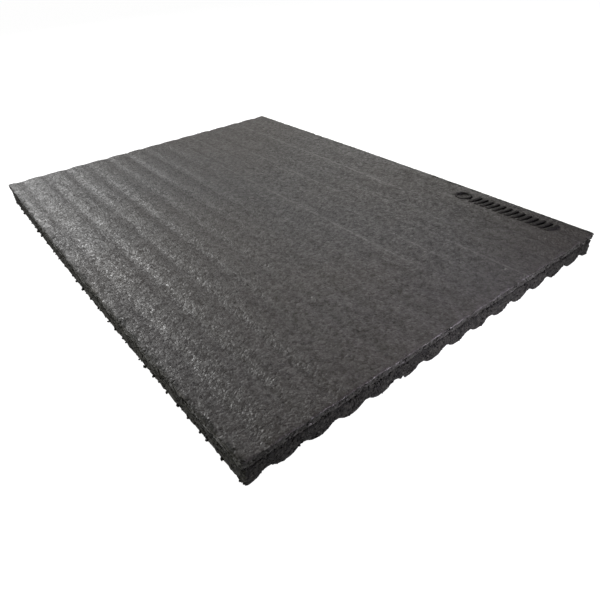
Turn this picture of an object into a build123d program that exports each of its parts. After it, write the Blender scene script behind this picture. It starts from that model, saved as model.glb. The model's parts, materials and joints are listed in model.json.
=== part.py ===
from build123d import *
import os
from math import asin, cos, sin

# Seedling heat mat: a fine rubber wear layer bonded to a ribbed rubber base, with a heating cable sealed
# between them and a shallow junction box let into the underside. Lengths are in mm. The origin is on the
# floor under the middle of the mat, X runs along the ribs, Y runs across them and Z is up.

# The mat
mat_length = 730.0
mat_width = 525.0  # at the two ends
side_bow = 3.5  # how far each long side swells at its middle
mat_thickness = 30.0
wear_thickness = 8.0
corner_radius = 2.0
wear_edge_radius = 1.5
base_inset = 1.0  # the wear layer overhangs the base all round
base_top = mat_thickness - wear_thickness

# The ribs: narrow flats that stand on the floor, and round grooves between them
rib_pitch = 36.9
rib_flat = 3.0
groove_depth = 6.5
groove_radius = 8.5
groove_count = 15  # the last one only rounds off the far edge
first_groove_y = -mat_width / 2 + 22.5
half_gap = (rib_pitch - rib_flat) / 2
both_radii = (half_gap**2 + groove_depth**2) / (2 * groove_depth)  # rib and groove arcs are tangent
rib_radius = both_radii - groove_radius
flank_angle = asin(half_gap / both_radii)

# Raised marking: a plain ring and a row of slanted bars near one corner
marking_height = 1.8
marking_draft = 14.0
marking_start_x = 174.0
marking_y = 237.0
ring_radius = 12.5
ring_hole = 7.5
bar_count = 13
bar_pitch = 9.7
bar_width = 7.6
bar_height = 24.0
bar_slant = 4.0

# Thin sheets between the two rubber layers, from the bottom up
sheet_length = 694.0
sheet_width = 489.0
sheet_corner = 12.0
mesh_thickness = 0.4
foil_thickness = 0.2
film_thickness = 0.4
foil_bottom = base_top + mesh_thickness
film_bottom = foil_bottom + foil_thickness
stack_height = mesh_thickness + foil_thickness + film_thickness

# Heating cable: parallel runs joined by half turns
wire_radius = 0.6
jacket_radius = 2.5
jacket_bore = 0.65
cable_z = base_top - 3.1
run_count = 12
run_pitch = 40.0
first_run_y = run_pitch * (run_count - 1) / 2
far_turn_x = 320.0
near_turn_x = -288.0
short_turn_x = -195.0  # the turn that stops short of the junction box
cable_start_x = -213.0
cable_end_x = -270.0
channel_width = 5.6
channel_floor = cable_z - 2.8
assembly_gap = 0.05  # between a hole and what goes through it

# Junction box, let into the underside behind the gland
box_x = -298.0
box_y = first_groove_y + 11.5 * rib_pitch  # under the middle of a rib
box_length = 90.0
box_width = 44.0
box_bottom = 2.9
box_top = 17.6
box_corner = 4.0
box_wall = 2.0
box_ceiling = 2.2
box_gap = 0.25  # bedding gap between the box and the rubber
box_inner_end = box_x + box_length / 2
box_outer_end = box_x - box_length / 2
boss_radius = 3.2
boss_x = box_length / 2 - 5.5
boss_y = box_width / 2 - 5.5
boss_hole = 1.3
lid_bottom = 0.8
lid_top = 2.4
screw_radius = 1.25
screw_hole = 1.7
screw_head_radius = 3.0
screw_length = 9.0
cross_width = 0.9
cross_depth = 1.0

# Terminal block and leads inside the box
lead_radius = 1.5
core_radius = 0.6
clamped_core = 8.0  # bare core inside a splice or a terminal barrel
crimped_core = 5.0  # bare core inside a small crimp
lead_z = 11.0
lead_channel_width = 4.4
lead_channel_floor = lead_z - 2.2
entry_x = -268.0
pole_pitch = 8.0
block_x = -305.0
block_length = 14.0
block_depth = 26.0
block_bottom = 6.4
barrel_radius = 2.2
barrel_bore = 1.4
barrel_length = 13.0
clamp_offset = 4.0
clamp_radius = 1.2
clamp_bottom = 7.2
lead_end_x = block_x + block_length / 2 + 0.5
poles_y = [box_y - pole_pitch, box_y, box_y + pole_pitch]

# Splices, fuse and earth stud
splice_length = 20.0
sleeve_radius = 1.4
sleeve_bore = 0.65
sleeve_length = 9.0
shroud_thickness = 0.5
splice_pocket_width = 7.4
splice_pocket_floor = cable_z - 3.5
splice_pocket_end = 4.0  # beyond the splice, at each end
shroud_overlap = 3.0
shroud_neck = 5.0  # straight part that grips the lead
fuse_radius = 2.0
fuse_start_x = -283.0
fuse_length = 9.0
fuse_inner_tail = 1.9
fuse_outer_tail = 11.1
pigtail_radius = 0.5
stud_x = -228.0
stud_radius = 1.6
ring_plate_radius = 3.5
ring_plate_thickness = 0.8
rivet_top_radius = 3.2
rivet_head_radius = 2.8
rivet_head_height = 0.8
crimp_radius = 2.0
crimp_z = base_top - crimp_radius
tongue_length = 8.0
tongue_width = 3.0
crimp_start_x = stud_x - 6
crimp_length = 5.0
crimp_mouth = 2.0  # deep enough for the lead's insulation
earth_lead_start_x = crimp_start_x - crimp_length + crimp_mouth

# Cord gland, M10, screwed into the end wall of the box and standing in a recess at the mat's end
gland_z = (box_bottom + box_top) / 2
gland_bore = 3.1
gland_thread = 5.0
gland_across_flats = 14.0
gland_washer_thickness = 1.2
gland_washer_radius = 6.8
gland_hex_length = 5.0
gland_thread_length = 7.0
collet_radius = 5.2
collet_bore = 4.45
collet_length = 6.3
seal_radius = 4.4
seal_seat_x = box_outer_end - gland_washer_thickness - gland_hex_length - 1.5
seal_length = 7.3
nut_length = 10.5
nut_wall = 2.2
nut_gap = 0.5
recess_half_width = 11.5

os.makedirs("parts", exist_ok=True)


def save(piece, name):
    piece.part.label = name
    export_step(piece.part, f"parts/{name}.step")


def mat_outline(inset):
    """The mat's plan: straight ends, long sides that swell a little, and slightly rounded corners."""
    half_length = mat_length / 2 - inset
    half_width = mat_width / 2 - inset
    with BuildSketch() as outline:
        with BuildLine():
            front = ThreePointArc(
                (-half_length, -half_width), (0, -half_width - side_bow), (half_length, -half_width)
            )
            back = ThreePointArc(
                (half_length, half_width), (0, half_width + side_bow), (-half_length, half_width)
            )
            Line(front @ 1, back @ 0)
            Line(back @ 1, front @ 0)
        make_face()
        fillet(outline.vertices(), corner_radius)
    return outline.sketch


def groove_profile():
    """One groove of the underside, between the flats of two ribs, with its roof at groove_depth."""
    tangent_point = (-groove_radius * sin(flank_angle), rib_radius * (1 - cos(flank_angle)))
    with BuildSketch() as profile:
        with BuildLine():
            rib_side = TangentArc((-half_gap, 0), tangent_point, tangent=(1, 0))
            TangentArc(rib_side @ 1, (0, groove_depth), tangent=rib_side % 1)
            mirror(about=Plane.YZ)
            Polyline((-half_gap, 0), (-half_gap, -1), (half_gap, -1), (half_gap, 0))
        make_face()
    return profile.sketch


def heating_route(height):
    """Centre line of the heating cable, from its start beside the box to its end at the far side."""
    with BuildLine(Plane.XY.offset(height)) as route:
        for run in range(run_count):
            y = first_run_y - run * run_pitch
            outward = run % 2 == 0
            near_x = short_turn_x if run in (1, 2) else near_turn_x
            if run == 0:
                near_x = cable_start_x
            if run == run_count - 1:
                near_x = cable_end_x
            start_x, end_x = (near_x, far_turn_x) if outward else (far_turn_x, near_x)
            Line((start_x, y), (end_x, y))
            if run < run_count - 1:
                JernArc(
                    start=(end_x, y),
                    tangent=(1 if outward else -1, 0),
                    radius=run_pitch / 2,
                    arc_size=-180 if outward else 180,
                )
    return route.line


def thin_sheet(bottom, thickness, hole_radius):
    """A sheet the size of the heated field, with a hole round the earth stud."""
    with BuildPart() as sheet:
        with BuildSketch(Plane.XY.offset(bottom)):
            RectangleRounded(sheet_length, sheet_width, sheet_corner)
            with Locations((stud_x, box_y)):
                Circle(hole_radius, mode=Mode.SUBTRACT)
        extrude(amount=thickness)
    return sheet


def tube_along_x(start_x, length, outer, bore, y, z):
    """A plain tube parallel to X."""
    with BuildPart() as tube:
        with BuildSketch(Plane(origin=(start_x, y, z), z_dir=(1, 0, 0))):
            Circle(outer)
            Circle(bore, mode=Mode.SUBTRACT)
        extrude(amount=length)
    return tube


def lead(points, radii, start_core, end_core):
    """An insulated lead along a route of straight runs and arcs, with a bare core at each end."""
    with BuildPart() as wire:
        with BuildLine() as route:
            FilletPolyline(*points, radius=radii)
        path = route.wires()[0]
        starts = (Plane(origin=path @ 0, z_dir=path % 0), Plane(origin=path @ 1, z_dir=path % 1))
        with BuildSketch(starts[0]):
            Circle(lead_radius)
        sweep(path=path)
        with BuildSketch(starts[0]):
            Circle(core_radius)
        extrude(amount=-start_core)
        with BuildSketch(starts[1]):
            Circle(core_radius)
        extrude(amount=end_core)
    return wire


def lead_channel(corners, radius, floor):
    """The solid that a lead's channel takes out of the base, along a flat route with round corners."""
    with BuildPart() as cutter:
        with BuildSketch(Plane.XY.offset(floor)):
            with BuildLine():
                FilletPolyline(*corners, radius=radius)
            trace(line_width=lead_channel_width)
        extrude(amount=base_top - floor)
    return cutter.part


# ---- Routes of the leads ----

live_splice_x = cable_start_x - splice_length
neutral_splice_x = cable_end_x - splice_length
return_x = -330.0
crossing_y = 130.0
drop_length = 13.0  # along X, where a lead goes down from the cable's level to the box's holes
live_drop_x = live_splice_x - 7
neutral_drop_x = return_x + 18
drop_overlap = 4.0  # the deep channel starts this far before the drop
earth_drop_x = stud_x - 12
earth_drop_length = 8.0
fuse_lead_x = -276.0
live_bend = 9.0
neutral_bend = 12.0

live_points = [
    (live_splice_x, first_run_y, cable_z),
    (live_drop_x, first_run_y, cable_z),
    (live_drop_x - drop_length, first_run_y, lead_z),
    (entry_x, first_run_y, lead_z),
    (entry_x, poles_y[2], lead_z),
    (fuse_lead_x, poles_y[2], lead_z),
]
neutral_points = [
    (neutral_splice_x, -first_run_y, cable_z),
    (return_x, -first_run_y, cable_z),
    (return_x, crossing_y, cable_z),
    (neutral_drop_x, crossing_y, cable_z),
    (neutral_drop_x + drop_length, crossing_y, lead_z),
    (entry_x, crossing_y, lead_z),
    (entry_x, poles_y[0], lead_z),
    (lead_end_x, poles_y[0], lead_z),
]
earth_points = [
    (earth_lead_start_x, box_y, crimp_z),
    (earth_drop_x, box_y, crimp_z),
    (earth_drop_x - earth_drop_length, box_y, lead_z),
    (lead_end_x, box_y, lead_z),
]

# ---- The two rubber layers ----

with BuildPart() as wear_layer:
    with BuildSketch(Plane.XY.offset(base_top)):
        add(mat_outline(0))
    extrude(amount=wear_thickness)
    fillet(wear_layer.edges().group_by(Axis.Z)[-1], wear_edge_radius)
    with BuildSketch(Plane.XY.offset(base_top)):
        RectangleRounded(sheet_length, sheet_width, sheet_corner)
    extrude(amount=stack_height, mode=Mode.SUBTRACT)
save(wear_layer, "wear_layer")

with BuildPart() as ribbed_base:
    with BuildSketch():
        add(mat_outline(base_inset))
    extrude(amount=base_top)
    with BuildSketch(Plane.YZ.offset(-mat_length / 2)):
        with Locations(*[(first_groove_y + n * rib_pitch, 0) for n in range(groove_count)]):
            add(groove_profile())
    extrude(amount=mat_length, mode=Mode.SUBTRACT)
    # Channels for the heating cable, its splices and the leads
    with BuildSketch(Plane.XY.offset(channel_floor)):
        trace(heating_route(0), line_width=channel_width)
    extrude(amount=base_top - channel_floor, mode=Mode.SUBTRACT)
    with BuildSketch(Plane.XY.offset(splice_pocket_floor)):
        with Locations(
            (cable_start_x - splice_length / 2, first_run_y),
            (cable_end_x - splice_length / 2, -first_run_y),
        ):
            Rectangle(splice_length + 2 * splice_pocket_end, splice_pocket_width)
        with Locations((stud_x, box_y)):
            Rectangle(2 * ring_plate_radius + 2, 2 * ring_plate_radius + 2)
    extrude(amount=base_top - splice_pocket_floor, mode=Mode.SUBTRACT)
    live_corners = [(live_splice_x, first_run_y), (entry_x, first_run_y), (entry_x, box_y)]
    add(lead_channel(live_corners, live_bend, lead_channel_floor), mode=Mode.SUBTRACT)
    neutral_corners = [
        (neutral_splice_x, -first_run_y),
        (return_x, -first_run_y),
        (return_x, crossing_y),
        (neutral_drop_x, crossing_y),
    ]
    add(lead_channel(neutral_corners, neutral_bend, channel_floor), mode=Mode.SUBTRACT)
    drop_start_x = neutral_drop_x - drop_overlap
    drop_corners = [(drop_start_x, crossing_y), (entry_x, crossing_y), (entry_x, box_y)]
    add(lead_channel(drop_corners, neutral_bend, lead_channel_floor), mode=Mode.SUBTRACT)
    with BuildSketch(Plane.XY.offset(lead_channel_floor)):
        with Locations((stud_x, box_y)):
            Rectangle(stud_x - box_inner_end, lead_channel_width, align=(Align.MAX, Align.CENTER))
    extrude(amount=base_top - lead_channel_floor, mode=Mode.SUBTRACT)
    # Pocket for the junction box, open below, and the gland's recess at the end of the mat
    with BuildSketch():
        with Locations((box_x, box_y)):
            RectangleRounded(box_length + 2 * box_gap, box_width + 2 * box_gap, box_corner + box_gap)
    extrude(amount=box_top, mode=Mode.SUBTRACT)
    with BuildSketch():
        with Locations((box_outer_end, box_y)):
            Rectangle(50, 2 * recess_half_width, align=(Align.MAX, Align.CENTER))
    extrude(amount=box_top, mode=Mode.SUBTRACT)
save(ribbed_base, "ribbed_base")

# ---- Raised marking ----

with BuildPart() as raised_marking:
    with BuildSketch(Plane.XY.offset(mat_thickness)):
        with Locations((marking_start_x + ring_radius, marking_y)):
            Circle(ring_radius)
            Circle(ring_hole, mode=Mode.SUBTRACT)
        for number in range(bar_count):
            bar_left = marking_start_x + 2 * ring_radius + 2 + number * bar_pitch
            with BuildLine():
                Polyline(
                    (bar_left, marking_y - bar_height / 2),
                    (bar_left + bar_width, marking_y - bar_height / 2),
                    (bar_left + bar_width + bar_slant, marking_y + bar_height / 2),
                    (bar_left + bar_slant, marking_y + bar_height / 2),
                    close=True,
                )
            make_face()
    extrude(amount=marking_height, taper=marking_draft)
save(raised_marking, "raised_marking")

# ---- Sheets between the layers ----

carrier_mesh = thin_sheet(base_top, mesh_thickness, stud_radius)
save(carrier_mesh, "carrier_mesh")
earth_foil = thin_sheet(foil_bottom, foil_thickness, stud_radius)
save(earth_foil, "earth_foil")
bonding_film = thin_sheet(film_bottom, film_thickness, ring_plate_radius)
save(bonding_film, "bonding_film")

# ---- Heating cable ----

cable_path = heating_route(cable_z)
cable_start = Plane(origin=(cable_start_x, first_run_y, cable_z), z_dir=(1, 0, 0))

with BuildPart() as heating_wire:
    with BuildSketch(cable_start):
        Circle(wire_radius)
    sweep(path=cable_path)
    # Bare ends that reach into the crimps
    with BuildSketch(cable_start):
        Circle(wire_radius)
    extrude(amount=-splice_length / 2)
    with BuildSketch(Plane(origin=(cable_end_x, -first_run_y, cable_z), z_dir=(-1, 0, 0))):
        Circle(wire_radius)
    extrude(amount=splice_length / 2)
save(heating_wire, "heating_wire")

with BuildPart() as wire_insulation:
    with BuildSketch(cable_start):
        Circle(jacket_radius)
        Circle(jacket_bore, mode=Mode.SUBTRACT)
    sweep(path=cable_path)
save(wire_insulation, "wire_insulation")

# ---- Splices between the hot wire and the cold leads ----

splice_centres = [
    (cable_start_x - splice_length / 2, first_run_y, cable_z),
    (cable_end_x - splice_length / 2, -first_run_y, cable_z),
    ((fuse_lead_x + fuse_start_x) / 2, poles_y[2], lead_z),
]

with BuildPart() as splice_sleeves:
    for centre, length in zip(splice_centres, (sleeve_length, sleeve_length, 4.0)):
        with BuildSketch(Plane(origin=centre, z_dir=(1, 0, 0))):
            Circle(sleeve_radius)
            Circle(sleeve_bore, mode=Mode.SUBTRACT)
        extrude(amount=length / 2, both=True)
save(splice_sleeves, "splice_sleeves")

with BuildPart() as splice_shrouds:
    for centre in splice_centres[:2]:
        cable_side = splice_length / 2 + shroud_overlap
        lead_side = -cable_side
        wide = jacket_radius + assembly_gap
        narrow = lead_radius + assembly_gap
        # Half section: X along the splice, Y out from its axis
        with BuildSketch(Plane(origin=centre, x_dir=(1, 0, 0), z_dir=(0, 0, 1))):
            with BuildLine():
                Polyline(
                    (lead_side, narrow),
                    (lead_side + shroud_neck, narrow),
                    (0, wide),
                    (cable_side, wide),
                    (cable_side, wide + shroud_thickness),
                    (0, wide + shroud_thickness),
                    (lead_side + shroud_neck, narrow + shroud_thickness),
                    (lead_side, narrow + shroud_thickness),
                    close=True,
                )
            make_face()
        revolve(axis=Axis(centre, (1, 0, 0)))
save(splice_shrouds, "splice_shrouds")

# ---- Leads ----

live_lead = lead(live_points, [5, 5, live_bend, 6], clamped_core, crimped_core)
save(live_lead, "live_lead")
neutral_lead = lead(
    neutral_points, [neutral_bend, neutral_bend, 5, 5, neutral_bend, 9], clamped_core, clamped_core
)
save(neutral_lead, "neutral_lead")
earth_lead = lead(earth_points, [3, 5], crimped_core, clamped_core)
save(earth_lead, "earth_lead")

# ---- Earth stud ----

with BuildPart() as earth_terminal:
    with BuildSketch(Plane.XY.offset(base_top - ring_plate_thickness)):
        with Locations((stud_x, box_y)):
            Circle(ring_plate_radius)
        with Locations((stud_x, box_y)):
            Rectangle(tongue_length, tongue_width, align=(Align.MAX, Align.CENTER))
        with Locations((stud_x, box_y)):
            Circle(stud_radius, mode=Mode.SUBTRACT)
    extrude(amount=ring_plate_thickness)
    with BuildSketch(Plane(origin=(crimp_start_x, box_y, crimp_z), z_dir=(-1, 0, 0))):
        Circle(crimp_radius)
    extrude(amount=crimp_length)
    with BuildSketch(Plane(origin=(earth_lead_start_x, box_y, crimp_z), z_dir=(-1, 0, 0))):
        Circle(lead_radius + assembly_gap)
    extrude(amount=crimp_mouth, mode=Mode.SUBTRACT)
    with BuildSketch(Plane(origin=(crimp_start_x + 1, box_y, crimp_z), z_dir=(-1, 0, 0))):
        Circle(core_radius + assembly_gap)
    extrude(amount=crimp_length, mode=Mode.SUBTRACT)
save(earth_terminal, "earth_terminal")

with BuildPart() as earth_rivet:
    with BuildSketch(Plane.XY.offset(base_top - ring_plate_thickness)):
        with Locations((stud_x, box_y)):
            Circle(stud_radius)
    extrude(amount=film_bottom - base_top + ring_plate_thickness)
    with BuildSketch(Plane.XY.offset(film_bottom)):
        with Locations((stud_x, box_y)):
            Circle(rivet_top_radius)
    extrude(amount=film_thickness)
    with BuildSketch(Plane.XY.offset(base_top - ring_plate_thickness)):
        with Locations((stud_x, box_y)):
            Circle(rivet_head_radius)
    extrude(amount=-rivet_head_height)
save(earth_rivet, "earth_rivet")

# ---- Junction box, its gasket and lid ----

with BuildPart() as junction_box:
    with BuildSketch(Plane.XY.offset(box_bottom)):
        with Locations((box_x, box_y)):
            RectangleRounded(box_length, box_width, box_corner)
    extrude(amount=box_top - box_bottom)
    with BuildSketch(Plane.XY.offset(box_bottom)):
        with Locations((box_x, box_y)):
            RectangleRounded(box_length - 2 * box_wall, box_width - 2 * box_wall, box_corner - box_wall)
    extrude(amount=box_top - box_bottom - box_ceiling, mode=Mode.SUBTRACT)
    with BuildSketch(Plane.XY.offset(box_bottom)):
        with Locations((box_x, box_y)):
            with GridLocations(2 * boss_x, 2 * boss_y, 2, 2):
                Circle(boss_radius)
    extrude(amount=box_top - box_bottom - box_ceiling)
    with BuildSketch(Plane.XY.offset(box_bottom)):
        with Locations((box_x, box_y)):
            with GridLocations(2 * boss_x, 2 * boss_y, 2, 2):
                Circle(boss_hole)
    extrude(amount=screw_length, mode=Mode.SUBTRACT)
    # Thread hole for the gland, and three grommet holes
    with BuildSketch(Plane(origin=(box_outer_end, box_y, gland_z), z_dir=(1, 0, 0))):
        Circle(gland_thread + assembly_gap)
    extrude(amount=box_wall, mode=Mode.SUBTRACT)
    with BuildSketch(Plane(origin=(entry_x, box_y, lead_z), z_dir=(0, 1, 0))):
        Circle(lead_radius + 1.05)
    extrude(amount=box_width, both=True, mode=Mode.SUBTRACT)
    with BuildSketch(Plane(origin=(box_inner_end, box_y, lead_z), z_dir=(-1, 0, 0))):
        Circle(lead_radius + 1.05)
    extrude(amount=box_wall, mode=Mode.SUBTRACT)
save(junction_box, "junction_box")

with BuildPart() as lid_gasket:
    with BuildSketch(Plane.XY.offset(lid_top)):
        with Locations((box_x, box_y)):
            RectangleRounded(box_length, box_width, box_corner)
            RectangleRounded(box_length - 16, box_width - 16, 3, mode=Mode.SUBTRACT)
            with GridLocations(2 * boss_x, 2 * boss_y, 2, 2):
                Circle(screw_hole, mode=Mode.SUBTRACT)
    extrude(amount=box_bottom - lid_top)
save(lid_gasket, "lid_gasket")

with BuildPart() as junction_lid:
    with BuildSketch(Plane.XY.offset(lid_bottom)):
        with Locations((box_x, box_y)):
            RectangleRounded(box_length, box_width, box_corner)
    extrude(amount=lid_top - lid_bottom)
    chamfer(junction_lid.edges().group_by(Axis.Z)[0], 0.5)
    with Locations(Plane.XY.offset(lid_bottom).rotated((180, 0, 0)).location):
        with Locations((box_x, -box_y)):
            with GridLocations(2 * boss_x, 2 * boss_y, 2, 2):
                CounterSinkHole(screw_hole, screw_head_radius, counter_sink_angle=90)
save(junction_lid, "junction_lid")

with BuildPart() as lid_screws:
    with Locations((box_x, box_y, lid_bottom)):
        with GridLocations(2 * boss_x, 2 * boss_y, 2, 2):
            Cylinder(screw_radius, screw_length, align=(Align.CENTER, Align.CENTER, Align.MIN))
            Cone(
                screw_head_radius - assembly_gap,
                screw_radius,
                screw_head_radius - screw_radius,
                align=(Align.CENTER, Align.CENTER, Align.MIN),
            )
            Box(
                3.4, cross_width, cross_depth,
                align=(Align.CENTER, Align.CENTER, Align.MIN), mode=Mode.SUBTRACT,
            )
            Box(
                cross_width, 3.4, cross_depth,
                align=(Align.CENTER, Align.CENTER, Align.MIN), mode=Mode.SUBTRACT,
            )
save(lid_screws, "lid_screws")

# ---- Terminal block ----

with BuildPart() as terminal_block:
    with BuildSketch(Plane.XY.offset(block_bottom)):
        with Locations((block_x, box_y)):
            Rectangle(block_length, block_depth)
    extrude(amount=box_top - box_ceiling - block_bottom)
    fillet(terminal_block.edges().group_by(Axis.Z)[0], 0.8)
    with BuildSketch(Plane(origin=(block_x, box_y, lead_z), x_dir=(0, 1, 0), z_dir=(1, 0, 0))):
        with GridLocations(pole_pitch, 1, 3, 1):
            Circle(barrel_radius + assembly_gap)
    extrude(amount=block_length, both=True, mode=Mode.SUBTRACT)
    with BuildSketch(Plane.XY.offset(block_bottom)):
        with Locations((block_x, box_y)):
            with GridLocations(2 * clamp_offset, pole_pitch, 2, 3):
                Circle(clamp_radius + 0.4)
    extrude(amount=lead_z - block_bottom - 1, mode=Mode.SUBTRACT)
save(terminal_block, "terminal_block")

with BuildPart() as terminal_barrels:
    for pole_y in poles_y:
        with BuildSketch(Plane(origin=(block_x, pole_y, lead_z), z_dir=(1, 0, 0))):
            Circle(barrel_radius)
            Circle(barrel_bore, mode=Mode.SUBTRACT)
        extrude(amount=barrel_length / 2, both=True)
    with BuildSketch(Plane.XY.offset(block_bottom)):
        with Locations((block_x, box_y)):
            with GridLocations(2 * clamp_offset, pole_pitch, 2, 3):
                Circle(clamp_radius + assembly_gap)
    extrude(amount=lead_z - block_bottom, mode=Mode.SUBTRACT)
save(terminal_barrels, "terminal_barrels")

with BuildPart() as terminal_screws:
    with BuildSketch(Plane.XY.offset(clamp_bottom)):
        with Locations((block_x, box_y)):
            with GridLocations(2 * clamp_offset, pole_pitch, 2, 3):
                Circle(clamp_radius)
    extrude(amount=lead_z - core_radius - 0.1 - clamp_bottom)
    with BuildSketch(Plane.XY.offset(clamp_bottom)):
        with Locations((block_x, box_y)):
            with GridLocations(2 * clamp_offset, pole_pitch, 2, 3):
                Rectangle(3, 0.5)
    extrude(amount=0.7, mode=Mode.SUBTRACT)
save(terminal_screws, "terminal_screws")

# ---- Thermal fuse ----

fuse_end_x = fuse_start_x - fuse_length

with BuildPart() as thermal_fuse:
    with BuildSketch(Plane(origin=(fuse_start_x, poles_y[2], lead_z), z_dir=(-1, 0, 0))):
        Circle(fuse_radius)
    extrude(amount=fuse_length)
    fillet(thermal_fuse.edges(), 0.5)
    with BuildSketch(Plane(origin=(fuse_start_x + fuse_inner_tail, poles_y[2], lead_z), z_dir=(-1, 0, 0))):
        Circle(pigtail_radius)
    extrude(amount=fuse_inner_tail + fuse_length + fuse_outer_tail)
save(thermal_fuse, "thermal_fuse")

fuse_sleeve = tube_along_x(
    fuse_end_x - 1, fuse_length + 2, fuse_radius + 0.6, fuse_radius + 0.1, poles_y[2], lead_z
)
save(fuse_sleeve, "fuse_sleeve")

# ---- Grommets where the leads enter the box ----

grommet_planes = [
    Plane(origin=(entry_x, box_y + box_width / 2 - box_wall, lead_z), z_dir=(0, 1, 0)),
    Plane(origin=(entry_x, box_y - box_width / 2 + box_wall, lead_z), z_dir=(0, -1, 0)),
    Plane(origin=(box_inner_end - box_wall, box_y, lead_z), z_dir=(1, 0, 0)),
]

with BuildPart() as lead_grommets:
    for inner_face in grommet_planes:
        with BuildSketch(inner_face):
            Circle(lead_radius + 1)
            Circle(lead_radius + assembly_gap, mode=Mode.SUBTRACT)
        extrude(amount=box_wall)
        with BuildSketch(inner_face):
            Circle(lead_radius + 2)
            Circle(lead_radius + assembly_gap, mode=Mode.SUBTRACT)
        extrude(amount=-1)
save(lead_grommets, "lead_grommets")

# ---- Cord gland ----

hex_outer_x = box_outer_end - gland_washer_thickness - gland_hex_length
nut_outer_x = hex_outer_x - nut_gap - nut_length

gland_washer = tube_along_x(
    box_outer_end - gland_washer_thickness, gland_washer_thickness,
    gland_washer_radius, gland_thread + assembly_gap, box_y, gland_z,
)
save(gland_washer, "gland_washer")


def gland_section(x):
    """A plane across the gland at x, facing out of the mat, turned so that the flats lie up and down."""
    return Plane(origin=(x, box_y, gland_z), x_dir=(0, 1, 0), z_dir=(-1, 0, 0))


with BuildPart() as gland_body:
    with BuildSketch(gland_section(hex_outer_x + gland_hex_length)):
        RegularPolygon(gland_across_flats / 2, 6, major_radius=False)
    extrude(amount=gland_hex_length)
    with BuildSketch(gland_section(hex_outer_x + gland_hex_length)):
        Circle(gland_thread)
    extrude(amount=-gland_thread_length - gland_washer_thickness)
    with BuildSketch(gland_section(hex_outer_x)):
        Circle(collet_radius)
    extrude(amount=collet_length)
    with BuildSketch(gland_section(hex_outer_x)):
        Circle(gland_bore)
    extrude(amount=mat_thickness, both=True, mode=Mode.SUBTRACT)
    with BuildSketch(gland_section(seal_seat_x)):
        Circle(collet_bore)
    extrude(amount=collet_length, mode=Mode.SUBTRACT)
save(gland_body, "gland_body")

gland_seal = tube_along_x(seal_seat_x - seal_length, seal_length, seal_radius, gland_bore, box_y, gland_z)
save(gland_seal, "gland_seal")

with BuildPart() as gland_nut:
    with BuildSketch(gland_section(hex_outer_x - nut_gap)):
        RegularPolygon(gland_across_flats / 2, 6, major_radius=False)
    extrude(amount=nut_length)
    chamfer(gland_nut.faces().sort_by(Axis.X)[0].edges(), 1.2)
    with BuildSketch(gland_section(hex_outer_x - nut_gap)):
        Circle(collet_radius + assembly_gap)
    extrude(amount=nut_length - nut_wall, mode=Mode.SUBTRACT)
    with BuildSketch(gland_section(hex_outer_x - nut_gap)):
        Circle(gland_bore)
    extrude(amount=nut_length, mode=Mode.SUBTRACT)
save(gland_nut, "gland_nut")
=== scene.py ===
import json
import math

import bmesh
import bpy
import numpy as np
from mathutils import Matrix, Vector, noise


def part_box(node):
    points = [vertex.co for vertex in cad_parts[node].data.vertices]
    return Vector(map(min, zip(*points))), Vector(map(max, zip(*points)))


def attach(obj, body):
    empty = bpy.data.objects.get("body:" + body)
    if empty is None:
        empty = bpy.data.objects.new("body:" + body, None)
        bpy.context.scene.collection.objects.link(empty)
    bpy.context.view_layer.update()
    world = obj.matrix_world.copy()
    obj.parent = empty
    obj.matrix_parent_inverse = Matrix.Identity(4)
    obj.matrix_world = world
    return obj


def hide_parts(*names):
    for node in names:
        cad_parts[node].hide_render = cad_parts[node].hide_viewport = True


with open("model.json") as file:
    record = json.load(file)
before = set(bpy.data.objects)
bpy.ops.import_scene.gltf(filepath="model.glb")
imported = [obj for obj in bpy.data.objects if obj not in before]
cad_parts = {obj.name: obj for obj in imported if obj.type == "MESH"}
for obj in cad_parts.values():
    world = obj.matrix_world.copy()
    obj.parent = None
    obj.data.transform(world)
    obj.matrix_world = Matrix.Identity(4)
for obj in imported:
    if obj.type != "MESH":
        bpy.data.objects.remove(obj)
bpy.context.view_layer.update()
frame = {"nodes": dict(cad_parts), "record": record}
nodes = frame["nodes"]

# ---- Sizes, in metres, taken from the frame where it holds them ----

wear_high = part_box("wear_layer")[1]
base_low, base_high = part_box("ribbed_base")
box_low, box_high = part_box("junction_box")
marking_low, marking_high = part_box("raised_marking")
sheet_boxes = [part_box(name) for name in ("carrier_mesh", "earth_foil", "bonding_film")]

HALF_LENGTH = wear_high.x
SIDE_BOW = 0.0035  # how far each long side swells at its middle
HALF_WIDTH = wear_high.y - SIDE_BOW
TOP = wear_high.z
PARTING = base_high.z
SHEETS_TOP = max(high.z for low, high in sheet_boxes)
CORNER_RADIUS = 0.002
EDGE_RADIUS = 0.001
BASE_INSET = wear_high.x - base_high.x

RIB_PITCH = 0.0369
RIB_FLAT = 0.003
GROOVE_DEPTH = 0.0065
GROOVE_RADIUS = 0.0085
FIRST_GROOVE = -HALF_WIDTH + 0.0225
HALF_GAP = (RIB_PITCH - RIB_FLAT) / 2
BOTH_RADII = (HALF_GAP**2 + GROOVE_DEPTH**2) / (2 * GROOVE_DEPTH)
RIB_RADIUS = BOTH_RADII - GROOVE_RADIUS
HIGHLIGHT_LINE_OFFSET = 0.011 - FIRST_GROOVE  # a painted highlight line runs 11 mm before each groove's middle

rng = np.random.default_rng(7)


# ---- Camera ----

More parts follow.
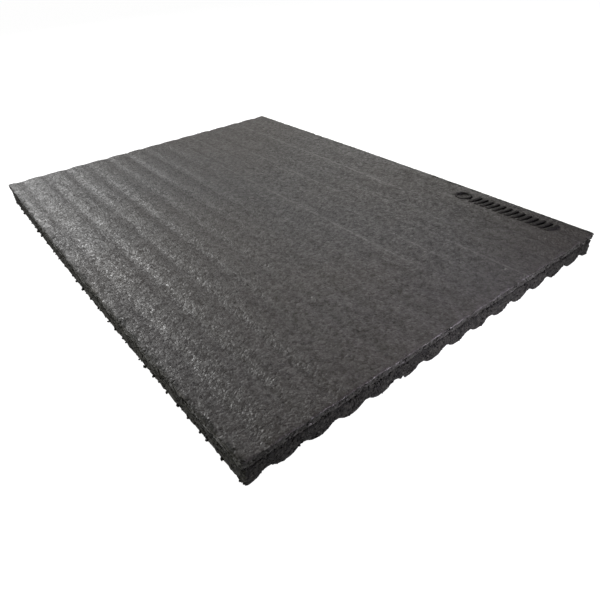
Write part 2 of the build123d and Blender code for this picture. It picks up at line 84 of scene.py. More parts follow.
def make_camera():
    """Stands off the near front corner and looks across the mat, with a slight roll."""
    data = bpy.data.cameras.new("camera")
    data.sensor_width = 36.0
    data.lens = 30.28
    data.clip_start = 0.01
    camera = bpy.data.objects.new("camera", data)
    bpy.context.collection.objects.link(camera)
    azimuth, elevation, roll = math.radians(53.89), math.radians(36.09), math.radians(-3.53)
    camera.matrix_world = (
        Matrix.Translation((0.5859, -0.3593, TOP + 0.3221))
        @ Matrix.Rotation(azimuth, 4, "Z")
        @ Matrix.Rotation(math.pi / 2 - elevation, 4, "X")
        @ Matrix.Rotation(roll, 4, "Z")
    )
    bpy.context.scene.camera = camera


make_camera()


# ---- Material helpers ----

class Surface:
    """A material with one Principled shader, and short calls that add nodes and link them."""

    def __init__(self, name, **sockets):
        self.material = bpy.data.materials.new(name)
        self.material.use_nodes = True
        self.tree = self.material.node_tree
        self.shader = self.tree.nodes["Principled BSDF"]
        self.place = self.tree.nodes.new("ShaderNodeTexCoord").outputs["Object"]
        for socket, value in sockets.items():
            self.shader.inputs[socket.replace("_", " ")].default_value = value

    def node(self, kind, settings=(), **inputs):
        made = self.tree.nodes.new("ShaderNode" + kind)
        for name, value in dict(settings).items():
            setattr(made, name, value)
        for name, value in inputs.items():
            self.feed(made.inputs[name.replace("_", " ")], value)
        return made

    def feed(self, socket, value):
        if isinstance(value, bpy.types.NodeSocket):
            self.tree.links.new(value, socket)
        else:
            socket.default_value = value

    def noise(self, size, detail=4.0, roughness=0.55, place=None):
        """Noise from 0 to 1 whose features are about size metres across."""
        made = self.node(
            "TexNoise", Vector=place or self.place, Scale=1 / size, Detail=detail, Roughness=roughness
        )
        return made.outputs[0]

    def grains(self, size, place=None):
        """Cells about size metres across: the distance to the cell's middle, and its random colour."""
        made = self.node("TexVoronoi", Vector=place or self.place, Scale=1 / size)
        return made.outputs["Distance"], made.outputs["Color"]

    def channel(self, colour, index):
        return self.node("SeparateColor", Color=colour).outputs[index]

    def stretched(self, x, y, z):
        return self.node("Mapping", Vector=self.place, Scale=(x, y, z)).outputs[0]

    def span(self, value, from_low, from_high, to_low=0.0, to_high=1.0):
        made = self.node("MapRange", Value=value)
        for name, number in zip(
            ("From Min", "From Max", "To Min", "To Max"), (from_low, from_high, to_low, to_high)
        ):
            made.inputs[name].default_value = number
        return made.outputs["Result"]

    def math(self, operation, first, second=0.5):
        made = self.node("Math", {"operation": operation})
        self.feed(made.inputs[0], first)
        self.feed(made.inputs[1], second)
        return made.outputs[0]

    def mix_values(self, *pairs):
        """The sum of each value times its weight."""
        total = None
        for value, weight in pairs:
            scaled = self.math("MULTIPLY", value, weight)
            total = scaled if total is None else self.math("ADD", total, scaled)
        return total

    def blend(self, factor, first, second, kind="MIX"):
        made = self.node("Mix", {"data_type": "RGBA", "blend_type": kind})
        self.feed(made.inputs[0], factor)
        for socket, value in ((made.inputs[6], first), (made.inputs[7], second)):
            self.feed(socket, value if isinstance(value, bpy.types.NodeSocket) else (*value, 1.0))
        return made.outputs[2]

    def colour(self, value):
        self.feed(self.shader.inputs["Base Color"], value)

    def rough(self, value):
        self.feed(self.shader.inputs["Roughness"], value)

    def bump(self, height, distance, strength=1.0):
        made = self.node("Bump", Height=height, Distance=distance, Strength=strength)
        self.feed(self.shader.inputs["Normal"], made.outputs["Normal"])


def wear_rubber(name, shade=1.0):
    """Pressed fine crumb: packed grains with small pits between them, some polished and some dull.
    Side faces are painted darker and duller than the pressed face, as painted shade. The outermost few
    millimetres of the long sides are darker and duller as well, and the small pits are painted darker, as
    painted shade.
    shade scales the colour and the shine; below 1 it gives a darker copy of the same rubber, as painted
    shade."""
    s = Surface(name)
    x, y = s.node("SeparateXYZ", Vector=s.place).outputs[:2]
    grain_distance, grain_colour = s.grains(0.0028)
    small_distance, small_colour = s.grains(0.0015)
    cluster = s.noise(0.007, detail=4, roughness=0.65)
    patches = s.noise(0.05, detail=3)
    wide = s.noise(0.3, detail=2)
    streak = s.noise(0.03, detail=3, place=s.stretched(0.12, 1.0, 1.0))
    pits = s.span(s.noise(0.0036, detail=2, roughness=0.7), 0.60, 0.68)
    facing = s.node("NewGeometry").outputs["True Normal"]
    painted_side_shade = s.span(s.node("SeparateXYZ", Vector=facing).outputs[2], 0.8, 0.35)
    # Darker, duller rim along the long sides, which bow outwards
    bow = s.math("MULTIPLY", s.math("MULTIPLY", x, x), -SIDE_BOW / HALF_LENGTH**2)
    from_side = s.math("SUBTRACT", s.math("ADD", bow, HALF_WIDTH + SIDE_BOW), s.math("ABSOLUTE", y))
    rim = s.math("ADD", s.span(from_side, 0.0075, 0.0), s.span(s.noise(0.012), 0.3, 0.7, -0.6, 0.6))
    rim = s.span(rim, 0.5, 0.8)
    side_shade_and_rim = s.math("MAXIMUM", painted_side_shade, s.math("MULTIPLY", rim, 0.85))
    # Thin painted highlight lines beside the ribs, on the half that has the marking; they are a little
    # glossier as well
    from_highlight_line = s.math("PINGPONG", s.math("ADD", y, HIGHLIGHT_LINE_OFFSET), RIB_PITCH / 2)
    highlight_line = s.math("MULTIPLY", s.span(from_highlight_line, 0.0026, 0.0006), s.span(y, 0.0, 0.05))
    highlight_line = s.math("MULTIPLY", highlight_line, s.span(streak, 0.46, 0.62, 0.1, 1.0))
    grey = s.mix_values(
        (s.channel(grain_colour, 0), 0.3), (s.channel(small_colour, 1), 0.25), (cluster, 0.35), (patches, 0.4)
    )
    body = s.blend(s.span(grey, 0.35, 1.0), (0.0415, 0.0398, 0.0392), (0.0548, 0.0525, 0.0512))
    body = s.blend(s.span(wide, 0.4, 0.62, 0.0, 0.6), body, (0.051, 0.0445, 0.0385))
    # Painted highlight: lighter colour along the lines beside the ribs
    body = s.blend(s.math("MULTIPLY", highlight_line, 0.7), body, (0.1, 0.096, 0.092))
    # Painted shade: the pits between the grains darkened
    body = s.blend(s.math("MULTIPLY", pits, 0.6), body, (0.012, 0.011, 0.011))
    # Painted shade: side faces darkened by their direction, together with the darker rim band along the long
    # sides
    body = s.blend(side_shade_and_rim, body, (0.012, 0.0118, 0.0098))
    s.colour(s.blend(1.0, body, (shade, shade, shade), "MULTIPLY"))
    polish = s.mix_values((cluster, 0.9), (streak, 0.4), (s.channel(grain_colour, 2), 0.4), (highlight_line, 0.15))
    s.rough(s.span(polish, 0.55, 1.15, 0.72, 0.36))
    shine = s.mix_values((cluster, 0.9), (s.channel(small_colour, 0), 0.4), (s.channel(grain_colour, 1), 0.4))
    shine = s.span(shine, 0.55, 1.15, 0.15, 0.85 * shade)
    shine = s.math("MULTIPLY", shine, s.span(side_shade_and_rim, 0.0, 1.0, 1.0, 0.25))
    s.feed(s.shader.inputs["Specular IOR Level"], shine)
    height = s.mix_values(
        (s.math("SUBTRACT", 1.0, grain_distance), 0.8),
        (s.math("SUBTRACT", 1.0, small_distance), 0.45),
        (cluster, 0.5),
        (pits, -0.8),
    )
    s.bump(height, 0.00055)
    return s.material


def crumb_rubber(name, dark, light, grain=0.0028, by_island=False):
    """Coarse crumb on the sides and the underside: dull black grains with open gaps, painted darker as
    painted shade.
    """
    s = Surface(name, Specular_IOR_Level=0.12)
    distance, cell = s.grains(grain)
    small_distance = s.grains(grain * 0.42)[0]
    lumps = s.noise(grain * 3, detail=4, roughness=0.65)
    patches = s.noise(0.05, detail=3)
    shade = s.node("NewGeometry").outputs["Random Per Island"] if by_island else s.channel(cell, 0)
    grey = s.mix_values((shade, 0.55), (lumps, 0.35), (patches, 0.3))
    body = s.blend(s.span(grey, 0.3, 1.05), dark, light)
    gaps = s.span(distance, 0.42, 0.7)
    # Painted shade: the gaps between grains darkened
    s.colour(s.blend(s.math("MULTIPLY", gaps, 0.7), body, tuple(0.4 * c for c in dark)))
    s.rough(s.span(s.noise(grain * 0.4, detail=3), 0.3, 0.7, 0.6, 0.92))
    height = s.mix_values(
        (s.math("SUBTRACT", 1.0, distance), 1.0),
        (s.math("SUBTRACT", 1.0, small_distance), 0.4),
        (lumps, 1.2),
    )
    s.bump(height, 0.0014)
    return s.material


def moulded(name, colour, roughness=0.5, texture=0.0006, relief=0.00006, **sockets):
    """Moulded plastic or smooth rubber: a fine spark texture, faint clouding and uneven gloss."""
    s = Surface(name, **sockets)
    cloud = s.noise(0.02, detail=3)
    grit = s.noise(texture, detail=2)
    s.colour(s.blend(s.span(cloud, 0.3, 0.7, 0.0, 0.6), colour, tuple(c * 0.72 for c in colour)))
    s.rough(s.span(grit, 0.3, 0.7, roughness - 0.08, min(1.0, roughness + 0.1)))
    s.bump(grit, relief)
    return s.material


def metal(name, colour, roughness=0.3, grain=0.0004, relief=0.00002):
    """Plated or drawn metal with fine lines and dull patches."""
    s = Surface(name, Metallic=1.0)
    lines = s.noise(grain, place=s.stretched(1.0, 0.08, 1.0))
    dull = s.noise(0.006, detail=3)
    s.colour(s.blend(s.span(dull, 0.35, 0.7), colour, tuple(c * 0.6 for c in colour)))
    s.rough(s.span(s.math("ADD", lines, dull), 0.7, 1.3, roughness - 0.1, roughness + 0.2))
    s.bump(lines, relief)
    return s.material


def woven(name, colour, pitch, relief):
    """Glass cloth: two crossing sets of threads with fine fuzz."""
    s = Surface(name)
    heights = []
    for direction in ("X", "Y"):
        wave = s.node(
            "TexWave", {"bands_direction": direction}, Vector=s.place,
            Scale=math.pi / 10 / pitch, Distortion=0.4, Detail_Scale=4.0,
        )
        heights.append(wave.outputs[1])
    threads = s.math("MAXIMUM", *heights)
    fuzz = s.noise(pitch * 0.3, detail=3)
    s.colour(s.blend(threads, tuple(c * 0.45 for c in colour), colour))
    s.rough(s.span(fuzz, 0.3, 0.7, 0.6, 0.85))
    s.bump(s.mix_values((threads, 1.0), (fuzz, 0.3)), relief)
    return s.material


def foil(name):
    """Thin aluminium with a crumpled skin."""
    s = Surface(name, Metallic=1.0)
    creases = s.grains(0.018)[0]
    ripple = s.noise(0.006)
    s.colour(s.blend(ripple, (0.62, 0.63, 0.64), (0.86, 0.87, 0.88)))
    s.rough(s.span(ripple, 0.3, 0.7, 0.22, 0.42))
    s.bump(s.mix_values((creases, 1.0), (ripple, 0.4)), 0.0006)
    return s.material


def striped_lead(name, first, second):
    """Wire insulation with a helical second colour."""
    s = Surface(name)
    wave = s.node("TexWave", {"bands_direction": "DIAGONAL"}, Vector=s.place, Scale=60.0)
    s.colour(s.blend(s.span(wave.outputs[1], 0.62, 0.66), first, second))
    s.rough(s.span(s.noise(0.002), 0.3, 0.7, 0.35, 0.5))
    s.bump(s.noise(0.0008), 0.00003)
    return s.material


materials = {
    "wear_rubber": wear_rubber("wear_rubber"),
    "base_rubber": crumb_rubber("base_rubber", (0.0045, 0.0045, 0.0037), (0.024, 0.0236, 0.019)),
    "resistance_wire": metal("resistance_wire", (0.5, 0.48, 0.45), 0.35),
    "cable_silicone": moulded("cable_silicone", (0.42, 0.05, 0.035), 0.42),
    "glass_scrim": woven("glass_scrim", (0.8, 0.8, 0.76), 0.004, 0.0003),
    "foil": foil("foil"),
    "bond_film": moulded("bond_film", (0.7, 0.6, 0.4), 0.38, 0.004, 0.0002, Transmission_Weight=0.25),
    "tinned_crimp": metal("tinned_crimp", (0.72, 0.71, 0.68), 0.32),
    "heat_shrink": moulded("heat_shrink", (0.012, 0.012, 0.012), 0.4, 0.003, 0.0001),
    "lead_brown": moulded("lead_brown", (0.14, 0.06, 0.025), 0.4),
    "lead_blue": moulded("lead_blue", (0.02, 0.07, 0.32), 0.4),
    "lead_green": striped_lead("lead_green", (0.04, 0.26, 0.03), (0.75, 0.6, 0.03)),
    "rivet_alloy": metal("rivet_alloy", (0.75, 0.75, 0.76), 0.35),
    "seal_rubber": moulded("seal_rubber", (0.02, 0.02, 0.02), 0.6),
    "fuse_metal": metal("fuse_metal", (0.66, 0.62, 0.55), 0.3),
    "glass_sleeve": woven("glass_sleeve", (0.75, 0.7, 0.58), 0.0008, 0.0001),
    "box_plastic": moulded(
        "box_plastic", (0.02, 0.02, 0.022), 0.52, 0.0009, 0.0001, Specular_IOR_Level=0.25
    ),
    "screw_steel": metal("screw_steel", (0.6, 0.6, 0.62), 0.28),
    "block_plastic": moulded("block_plastic", (0.68, 0.67, 0.62), 0.45),
    "barrel_brass": metal("barrel_brass", (0.78, 0.56, 0.24), 0.25),
    "gland_plastic": moulded(
        "gland_plastic", (0.022, 0.022, 0.024), 0.42, 0.0007, 0.00008, Specular_IOR_Level=0.3
    ),
}
# A darker copy of the wear rubber for the marking: painted shade
marking_rubber_painted_shade = wear_rubber("marking_rubber_painted_shade", 0.4)
loose_crumb = crumb_rubber("loose_crumb", (0.004, 0.004, 0.0034), (0.034, 0.0335, 0.029), 0.0016, True)

for part in frame["record"]["subparts"]:
    node_object = nodes[part["node"]]
    node_object.data.materials.clear()
    node_object.data.materials.append(materials[part["material_slot"]])


# ---- Mesh helpers ----

def outline_point(s, t, inset):
    """A point of the mat's plan. s runs along it and t across it, each from -1 to 1."""
    half_length = HALF_LENGTH - inset
    half_width = HALF_WIDTH + SIDE_BOW * (1 - s * s) - inset
    x, y = s * half_length, t * half_width
    over_x = abs(x) - (half_length - CORNER_RADIUS)
    over_y = abs(y) - (half_width - CORNER_RADIUS)
    if over_x > 0 and over_y > 0:
        shrink = max(over_x, over_y) / math.hypot(over_x, over_y)
        x = math.copysign(half_length - CORNER_RADIUS + over_x * shrink, x)
        y = math.copysign(half_width - CORNER_RADIUS + over_y * shrink, y)
    return x, y


def rough_noise(x, y, z, size, octaves=3):
    """Smooth noise from about -1 to 1, with features about size metres across."""
    return noise.fractal(Vector((x / size, y / size, z / size)), 1.0, 2.0, octaves)


def once_round(along, across):
    """Once round a grid's rim, from its low corner and along its first direction."""
    front = [(a, across[0]) for a in along[:-1]]
    right = [(along[-1], b) for b in across[:-1]]
    back = [(a, across[-1]) for a in reversed(along[1:])]
    left = [(along[0], b) for b in reversed(across[1:])]
    return front + right + back + left


def capped_shell(along, across, cap_point, rings, start=0):
    """Points and faces of a closed mesh: a fine grid as its cap, rings of points going away from it, and one
    flat face that closes it. start is the number of points that come before these."""
    count_across = len(across)
    points = [cap_point(s, t) for s in along for t in across]
    faces = []
    for i in range(len(along) - 1):
        for j in range(count_across - 1):
            first = start + i * count_across + j
            second = first + count_across
            faces.append((first, second, second + 1, first + 1))
    rim = [
        start + i * count_across + j
        for i, j in once_round(list(range(len(along))), list(range(count_across)))
    ]
    for ring in rings:
        first = start + len(points)
        points.extend(ring)
        new_rim = list(range(first, first + len(ring)))
        for k in range(len(rim)):
            after = (k + 1) % len(rim)
            faces.append((rim[after], rim[k], new_rim[k], new_rim[after]))
        rim = new_rim
    faces.append(tuple(reversed(rim)))
    return points, faces


def mesh_object(name, points, faces):
    mesh = bpy.data.meshes.new(name)
    mesh.from_pydata(points, [], faces)
    mesh.update()
    piece = bpy.data.objects.new(name, mesh)
    bpy.context.collection.objects.link(piece)
    return piece


def finish_piece(piece, slot, replaced=(), smooth_angle=50.0, material=None):
    piece.data.materials.clear()
    piece.data.materials.append(material or materials[slot])
    piece.data.shade_smooth()
    piece.data.set_sharp_from_angle(angle=math.radians(smooth_angle))
    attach(piece, "root")
    if replaced:
        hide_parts(*replaced)


def steps(count):
    return [2 * k / count - 1 for k in range(count + 1)]


# ---- Wear layer: pebbled top, shallow valleys over the grooves, ragged edge ----

TOP_SPACING = 0.0023
VALLEY_DEPTH = 0.0017
CREST = 0.0004  # how far the lines over the ribs stand above the nominal face


def top_height(x, y):
    """Height of the walked-on face: valleys over the grooves, broad hollows and pebbles."""
    across = math.cos(2 * math.pi * (y - FIRST_GROOVE) / RIB_PITCH)
    valley = -(0.5 + 0.5 * across) ** 2.2
    strength = 0.75 + 0.55 * rough_noise(x, y * 3, 3.0, 0.15, 2)
    wander = 0.00018 * rough_noise(x * 0.35, y, 7.0, 0.018, 3)
    hollows = 0.00014 * rough_noise(x, y, 5.0, 0.05, 3)
    pebbles = 0.00011 * rough_noise(x, y, 9.0, 0.0065, 2)
    return CREST + VALLEY_DEPTH * valley * max(0.15, strength) + wander + hollows + pebbles


def chips(x, y):
    """How much of the top edge has crumbled away here, in metres."""
    crumbled = rough_noise(x, y, 30.0, 0.007) + 0.4 * rough_noise(x, y, 31.0, 0.03) - 0.3
    return max(0.0, (0.0026 if y < 0 else 0.0014) * crumbled)


def wear_ring(places, inset, z, ragged, lift):
    """One ring of the wear layer's edge, roughened in and out by ragged and up and down by lift."""
    ring = []
    for s, t in places:
        x, y = outline_point(s, t, inset)
        crumble = rough_noise(x, y, z * 2, 0.0045) + 0.6 * rough_noise(x, y, z + 1, 0.013)
        x, y = outline_point(s, t, inset - ragged * crumble)
        ring.append((x, y, z + lift * rough_noise(x, y, z + 2, 0.006)))
    return ring


def make_wear_layer():
    along = steps(round(2 * HALF_LENGTH / TOP_SPACING))
    across = steps(round(2 * HALF_WIDTH / TOP_SPACING))
    places = once_round(along, across)
    last_row = 1 - 1.5 * TOP_SPACING / HALF_LENGTH
    last_column = 1 - 1.5 * TOP_SPACING / HALF_WIDTH

    def cap_point(s, t):
        x, y = outline_point(s, t, EDGE_RADIUS)
        z = TOP + top_height(x, y)
        on_rim = abs(s) > 1 - 1e-6 or abs(t) > 1 - 1e-6
        if on_rim:
            z -= 0.0001 + chips(x, y)
        elif abs(s) > last_row or abs(t) > last_column:
            z -= 0.3 * chips(x, y)
        return x, y, z

    rings = []
    for angle in (40, 75):
        inset = EDGE_RADIUS * (1 - math.sin(math.radians(angle)))
        drop = EDGE_RADIUS * (1 - math.cos(math.radians(angle)))
        ring = wear_ring(places, inset, TOP - drop, 0.0006, 0.0002)
        rings.append([(x, y, z + 0.7 * top_height(x, y) - chips(x, y)) for x, y, z in ring])
    side_rows = 5
    side_top = TOP - 0.0028
    for row in range(side_rows):
        z = side_top - (side_top - PARTING) * row / side_rows
        rings.append(wear_ring(places, 0.0001, z, 0.0008, 0.0004))
    # Broken away just above the parting line, which leaves a ragged crack
    rings.append(wear_ring(places, 0.0017, PARTING + 0.0009, 0.0016, 0.0006))
    pocket_inset = HALF_LENGTH - sheet_boxes[0][1].x
    for inset, z in ((0.0035, PARTING), (pocket_inset, PARTING), (pocket_inset, SHEETS_TOP)):
        rings.append([(*outline_point(s, t, inset), z) for s, t in places])
    piece = mesh_object("wear_layer_crumb", *capped_shell(along, across, cap_point, rings))
    finish_piece(piece, "wear_rubber", ["wear_layer"])


make_wear_layer()


# ---- Raised marking: a plain ring and slanted bars, pressed in one with the top and a little worn ----

def soft_edge(share, edge):
    """0 at either end of a strip and 1 inside, with a smooth step edge wide."""
    inside = min(1.0, min(share, 1 - share) / edge)
    return inside * inside * (3 - 2 * inside)


def make_marking():
    ring_outer = (marking_high.y - marking_low.y) / 2
    ring_hole = 0.6 * ring_outer
    centre_x, centre_y = marking_low.x + ring_outer, (marking_low.y + marking_high.y) / 2
    height = marking_high.z - TOP
    bottom = TOP - 0.0022
    points, faces = [], []
    around, across_ring = 72, 9
    for k in range(around):
        angle = 2 * math.pi * k / around
        for m in range(across_ring):
            share = m / (across_ring - 1)
            radius = ring_hole + (ring_outer - ring_hole) * share
            x, y = centre_x + radius * math.cos(angle), centre_y + radius * math.sin(angle)
            wear = 0.00022 * rough_noise(x, y, 12.0, 0.004)
            points.append((x, y, TOP - 0.0003 + (height + 0.0001) * soft_edge(share, 0.26) + wear))
        for radius in (ring_outer, ring_hole):
            points.append((centre_x + radius * math.cos(angle), centre_y + radius * math.sin(angle), bottom))
    row = across_ring + 2
    for k in range(around):
        here, there = k * row, (k + 1) % around * row
        for m in range(row):
            n = (m + 1) % row
            faces.append((here + m, here + n, there + n, there + m))
    bar_count, bar_pitch, bar_width, bar_slant = 13, 0.0097, 0.0072, 0.004
    bar_height = 2 * ring_outer - 0.001
    for number in range(bar_count):
        left = marking_low.x + 2 * ring_outer + 0.0022 + number * bar_pitch
        low_y = centre_y - bar_height / 2

        def bar_place(a, b, left=left, low_y=low_y):
            return left + bar_width * a + bar_slant * b, low_y + bar_height * b

        def bar_point(a, b):
            x, y = bar_place(a, b)
            wear = 0.00025 * rough_noise(x, y, 14.0, 0.004)
            rise = soft_edge(a, 0.2) * soft_edge(b, 0.06)
            return x, y, TOP - 0.0003 + (height + 0.0001) * rise + wear

        widths = [m / 8 for m in range(9)]
        lengths = [m / 26 for m in range(27)]
        skirt = [(*bar_place(a, b), bottom) for a, b in once_round(widths, lengths)]
        more_points, more_faces = capped_shell(widths, lengths, bar_point, [skirt], len(points))
        points += more_points
        faces += more_faces
    piece = mesh_object("marking_relief", points, faces)
    finish_piece(piece, "wear_rubber", ["raised_marking"], material=marking_rubber_painted_shade)


make_marking()


# ---- Ribbed base ----

NICK_Y = -0.0815  # a small slanting split in one rib at the near end
NICK_WIDTH = 0.0042
NICK_LENGTH = 0.016
NICK_SLANT = math.radians(54)


def rib_height(y):
    """Height of the underside above the floor at y: flats, then round grooves between them."""
    from_groove = abs((y - FIRST_GROOVE + RIB_PITCH / 2) % RIB_PITCH - RIB_PITCH / 2)
    if y < FIRST_GROOVE - HALF_GAP or from_groove >= HALF_GAP:
        return 0.0
    crossing = GROOVE_RADIUS * HALF_GAP / BOTH_RADII
    if from_groove < crossing:
        return GROOVE_DEPTH - GROOVE_RADIUS + math.sqrt(GROOVE_RADIUS**2 - from_groove**2)
    return RIB_RADIUS - math.sqrt(RIB_RADIUS**2 - (HALF_GAP - from_groove) ** 2)


def underside(x, y):
    """The underside with its crumb's dents, and the split in one rib."""
    dents = rough_noise(x, y, 20.0, 0.004) + 0.6 * rough_noise(x, y, 24.0, 0.03, 2)
    back = base_high.x - x
    off_middle = abs((y - NICK_Y) * math.sin(NICK_SLANT) - back * math.cos(NICK_SLANT))
    split = max(0.0, 1 - 2 * off_middle / NICK_WIDTH) * max(0.0, 1 - back / NICK_LENGTH) ** 0.5
    return max(0.0, rib_height(y) + 0.0003 * dents + 0.0002 + 0.0055 * split)


def base_ring(places, share, inset, ragged):
    """One ring of the base's edge, a share of the way from the underside to the parting line."""
    ring = []
    for s, t in places:
        x, y = outline_point(s, t, inset)
        low = underside(x, y)
        z = low + (PARTING - low) * share
        crumble = rough_noise(x, y, z * 1.3 + 4, 0.0048) + 0.7 * rough_noise(x, y, z + 5, 0.014)
        x, y = outline_point(s, t, inset - ragged * crumble)
        ring.append((x, y, z))
    return ring


def cut(target, cutter, operation="DIFFERENCE"):
    """Applies a boolean to target's mesh and removes the cutter."""
    modifier = target.modifiers.new("cut", "BOOLEAN")
    modifier.operation = operation
    modifier.solver = "MANIFOLD"
    modifier.object = cutter
    bpy.context.view_layer.update()
    evaluated = target.evaluated_get(bpy.context.evaluated_depsgraph_get())
    mesh = bpy.data.meshes.new_from_object(evaluated)
    target.modifiers.clear()
    target.data = mesh
    bpy.data.objects.remove(cutter)


def block(name, low, high):
    points = [(x, y, z) for x in (low[0], high[0]) for y in (low[1], high[1]) for z in (low[2], high[2])]
    faces = [(0, 1, 3, 2), (4, 6, 7, 5), (0, 4, 5, 1), (2, 3, 7, 6), (0, 2, 6, 4), (1, 5, 7, 3)]
    return mesh_object(name, points, faces)


def welded_copy(node):
    """A watertight copy of a CAD node's mesh, to cut with."""
    mesh = nodes[node].data.copy()
    edit = bmesh.new()
    edit.from_mesh(mesh)
    bmesh.ops.remove_doubles(edit, verts=edit.verts, dist=1e-6)
    edit.to_mesh(mesh)
    edit.free()
    copy = bpy.data.objects.new(node + "_copy", mesh)
    bpy.context.collection.objects.link(copy)
    return copy


def make_base():
    # Closer rows at the near end, for the split rib
    close_rows, close_step = 14, 0.005
    along = steps(200)[:-6] + [1 - close_step * k for k in reversed(range(close_rows))]
    across = steps(330)
    places = once_round(along, across)

    def cap_point(s, t):
        x, y = outline_point(s, t, BASE_INSET + 0.0004)
        return x, y, underside(x, y)

    side_shares = (0.04, 0.14, 0.26, 0.4, 0.54, 0.68, 0.82)
    rings = [base_ring(places, share, BASE_INSET, 0.0009) for share in side_shares]
    # Broken away just below the parting line
    rings.append(base_ring(places, 0.94, BASE_INSET + 0.0016, 0.0018))
    rings.append([(*outline_point(s, t, BASE_INSET + 0.0035), PARTING - 0.00002) for s, t in places])
    points, faces = capped_shell(along, across, cap_point, rings)
    piece = mesh_object("ribbed_base_crumb", points, [tuple(reversed(face)) for face in faces])
    # The box's pocket and the gland's recess, open below, then the channels inside
    gap = 0.00025
    middle = (box_low.y + box_high.y) / 2
    half_recess = 0.0115
    above_grooves = GROOVE_DEPTH + 0.002
    cut(piece, block(
        "pocket", (box_low.x - gap, box_low.y - gap, -0.01), (box_high.x + gap, box_high.y + gap, box_high.z)
    ))
    cut(piece, block(
        "recess",
        (-HALF_LENGTH - 0.02, middle - half_recess, -0.01),
        (box_low.x, middle + half_recess, box_high.z),
    ))
    channels = block(
        "channels", (base_low.x + 0.003, base_low.y + 0.012, above_grooves),
        (base_high.x - 0.003, base_high.y - 0.012, PARTING + 0.001),
    )
    cut(channels, welded_copy("ribbed_base"))
    cut(piece, channels)
    finish_piece(piece, "base_rubber", ["ribbed_base"])


make_base()


# ---- Loose crumb that stands out of the sides ----

def unit_grain():
    """A twelve-cornered, twenty-sided grain of radius 1."""
    golden = (1 + math.sqrt(5)) / 2
    hull = bmesh.new()
    for a in (-1, 1):
        for b in (-golden, golden):
            for point in ((0, a, b), (a, b, 0), (b, 0, a)):
                hull.verts.new(point)
    bmesh.ops.convex_hull(hull, input=hull.verts)
    hull.verts.index_update()
    corners = np.array([vert.co[:] for vert in hull.verts])
    faces = np.array([[vert.index for vert in face.verts] for face in hull.faces])
    hull.free()
    return corners / np.linalg.norm(corners[0]), faces


def scatter_grains(name, centres, sizes, slot):
    """One mesh of many grains, each turned, stretched and roughened in its own way."""
    corners, faces = unit_grain()
    count = len(centres)
    axes = rng.normal(size=(count, 4))
    axes /= np.linalg.norm(axes, axis=1, keepdims=True)
    w, x, y, z = axes.T
    turns = np.stack([
        np.stack([1 - 2 * (y * y + z * z), 2 * (x * y - z * w), 2 * (x * z + y * w)], -1),
        np.stack([2 * (x * y + z * w), 1 - 2 * (x * x + z * z), 2 * (y * z - x * w)], -1),
        np.stack([2 * (x * z - y * w), 2 * (y * z + x * w), 1 - 2 * (x * x + y * y)], -1),
    ], 1)
    shapes = corners[None] * rng.uniform(0.55, 1.15, size=(count, 1, 3))
    shapes *= rng.uniform(0.8, 1.2, size=(count, len(corners), 1))
    placed = np.einsum("nij,nkj->nki", turns, shapes) * np.array(sizes)[:, None, None]
    placed += np.array(centres)[:, None, :]
    points = placed.reshape(-1, 3)
    points[:, 2] = np.maximum(points[:, 2], 0.0)
    all_faces = (faces[None] + (np.arange(count) * len(corners))[:, None, None]).reshape(-1, 3)
    piece = mesh_object(name, points.tolist(), all_faces.tolist())
    finish_piece(piece, slot, smooth_angle=35.0, material=loose_crumb)


def rim_place():
    """A random place on the rim as (s, t), spread evenly along its length."""
    spot = rng.uniform(0, 4 * (HALF_LENGTH + HALF_WIDTH))
    for side, length in enumerate((2 * HALF_LENGTH, 2 * HALF_WIDTH) * 2):
        if spot < length:
            share = 2 * spot / length - 1
            return ((share, -1.0), (1.0, share), (share, 1.0), (-1.0, share))[side]
        spot -= length
    return 1.0, 1.0


def clear_of_gland(x, y):
    return x > -HALF_LENGTH + 0.01 or abs(y - (box_low.y + box_high.y) / 2) > 0.014


def base_grains(count):
    centres, sizes = [], []
    while len(centres) < count:
        s, t = rim_place()
        size = 0.0006 + 0.0011 * rng.random() ** 2
        x, y = outline_point(s, t, BASE_INSET + size * rng.uniform(0.0, 0.5))
        low = rib_height(y) + 0.9 * size
        z = low + (PARTING - low) * rng.random()
        in_nick = x > base_high.x - 0.004 and abs(y - NICK_Y) < 0.004 and z < 0.008
        if clear_of_gland(x, y) and not in_nick:
            centres.append((x, y, z))
            sizes.append(size)
    return centres, sizes


def flash_grains(count):
    """Larger flakes squeezed out along the bottom edges of the long sides and at the corners."""
    centres, sizes = [], []
    for number in range(count):
        s = -1 + 2 * (number + rng.random()) / count
        size = rng.uniform(0.0012, 0.0021)
        for t in (-1.0, 1.0):
            x, y = outline_point(s, t, BASE_INSET - 0.5 * size)
            centres.append((x, y, size * rng.uniform(0.7, 2.0)))
            sizes.append(size)
    for s in (-1.0, 1.0):
        for t in (-1.0, 1.0):
            for lift in (0.0014, 0.0035, 0.006):
                x, y = outline_point(s, t, BASE_INSET + 0.0004)
                centres.append((x, y, lift))
                sizes.append(0.0016)
    return centres, sizes


def wear_grains(count):
    centres, sizes = [], []
    for _ in range(count):
        s, t = rim_place()
        size = 0.0005 + 0.0009 * rng.random() ** 2
        x, y = outline_point(s, t, size * rng.uniform(0.1, 0.9))
        z = PARTING + 0.0009 + (TOP - PARTING - 0.0021) * rng.random() ** 0.8
        centres.append((x, y, z))
        sizes.append(size)
    return centres, sizes


scatter_grains("base_edge_grains", *base_grains(6500), "base_rubber")
scatter_grains("base_flash_grains", *flash_grains(34), "base_rubber")
scatter_grains("wear_edge_grains", *wear_grains(4200), "wear_rubber")


# ---- Floor and light ----

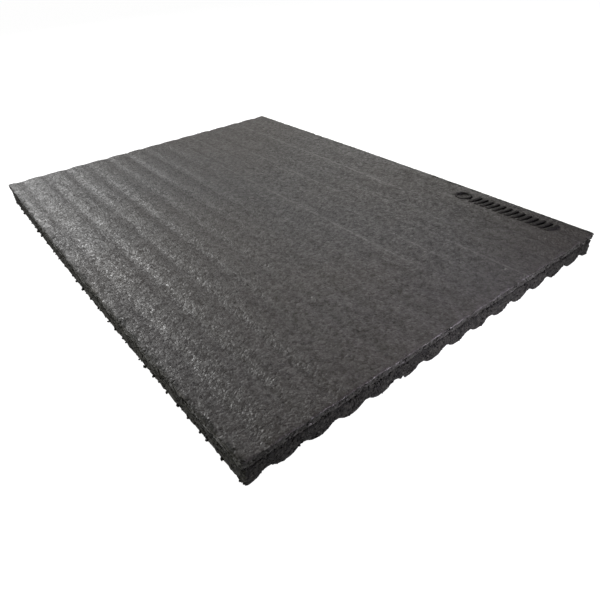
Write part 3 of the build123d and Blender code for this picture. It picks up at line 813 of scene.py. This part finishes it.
def make_stage():
    size = 40.0
    points = [(-size, -size, 0), (size, -size, 0), (size, size, 0), (-size, size, 0)]
    floor = mesh_object("floor", points, [(0, 1, 2, 3)])
    floor.location.z = -0.0002
    s = Surface("floor", Roughness=0.9)
    s.shader.inputs["Base Color"].default_value = (0.25, 0.25, 0.25, 1)
    s.shader.inputs["Emission Color"].default_value = (1, 1, 1, 1)
    s.shader.inputs["Emission Strength"].default_value = 0.97
    mix = s.node("MixShader")
    s.feed(mix.inputs[0], s.node("NewGeometry").outputs["Backfacing"])
    s.feed(mix.inputs[1], s.shader.outputs[0])
    s.feed(mix.inputs[2], s.node("BsdfTransparent").outputs[0])
    s.feed(s.tree.nodes["Material Output"].inputs["Surface"], mix.outputs[0])
    floor.data.materials.append(s.material)


def area_light(name, place, target, size, power, colour=(1, 1, 1), spread=math.pi):
    data = bpy.data.lights.new(name, "AREA")
    data.shape = "RECTANGLE"
    data.size, data.size_y = size
    data.energy = power
    data.color = colour
    data.spread = spread
    lamp = bpy.data.objects.new(name, data)
    lamp.location = place
    lamp.rotation_euler = (Vector(target) - Vector(place)).to_track_quat("-Z", "Y").to_euler()
    bpy.context.collection.objects.link(lamp)


def make_light():
    world = bpy.data.worlds.new("studio")
    world.use_nodes = True
    background = world.node_tree.nodes["Background"]
    background.inputs["Color"].default_value = (1, 1, 1, 1)
    background.inputs["Strength"].default_value = 0.06
    bpy.context.scene.world = world
    # Soft light beyond the far end, for the sheen towards the left corner
    area_light("far_end", (-1.67, -0.4, 1.13), (-0.25, -0.2, 0), (0.65, 0.55), 30)
    # Large soft lights beyond the far left corner and the far side
    area_light("far_corner", (-1.2, 1.3, 1.2), (0, 0, 0), (1.4, 1.2), 5.5, (1.0, 0.97, 0.93))
    area_light("far_left", (-1.8, 0.6, 1.2), (0, 0, 0), (1.2, 1.0), 4.5, (1.0, 0.98, 0.95))
    area_light("far_side", (-1.0, 1.5, 0.7), (0, 0, 0), (1.0, 0.6), 3.7, (1.0, 0.98, 0.95))
    # Weak, narrow lights near the floor, for the faces of the near end and the near long side
    narrow = math.radians(75)
    area_light(
        "near_end", (0.85, 0.16, 0.12), (0.36, 0.03, 0.012), (0.15, 0.15), 1.35, (1.0, 0.93, 1.1), narrow
    )
    area_light(
        "near_side", (0.02, -1.1, 0.1), (0.02, -0.26, 0.012), (0.6, 0.12), 1.7, (1.0, 0.98, 0.88), narrow
    )


make_stage()
make_light()
bpy.context.scene.view_settings.view_transform = "Standard"
